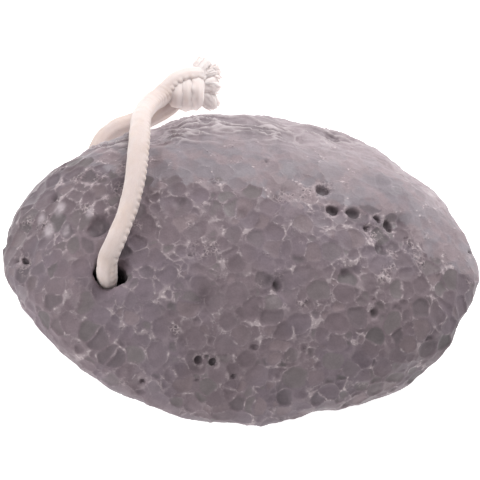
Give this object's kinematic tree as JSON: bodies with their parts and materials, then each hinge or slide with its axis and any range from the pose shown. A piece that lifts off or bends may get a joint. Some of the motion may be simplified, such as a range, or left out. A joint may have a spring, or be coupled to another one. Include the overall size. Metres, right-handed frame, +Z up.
{
  "type": "pumice stone",
  "caption": "Almond-shaped pumice foot stone with a foamed skin of cells and pits, lying on its worn flat, with a knotted soft cord threaded through a hole near its end",
  "frame": {"origin": "on the surface that the stone lies on, under the middle of the stone's box, the cord left out", "axes": "+X along the stone's long axis, away from the end with the hole; +Y towards the side where the cord's knot lies; +Z up"},
  "size_m": [0.0992, 0.0857, 0.0417],
  "materials": {
    "pumice": "matte, foamed, with open cells",
    "cotton": "soft knitted cord"
  },
  "bodies": {
    "root": {"pumice_stone": "pumice", "rope": "cotton", "rope_knot": "cotton"}
  },
  "joints": []
}
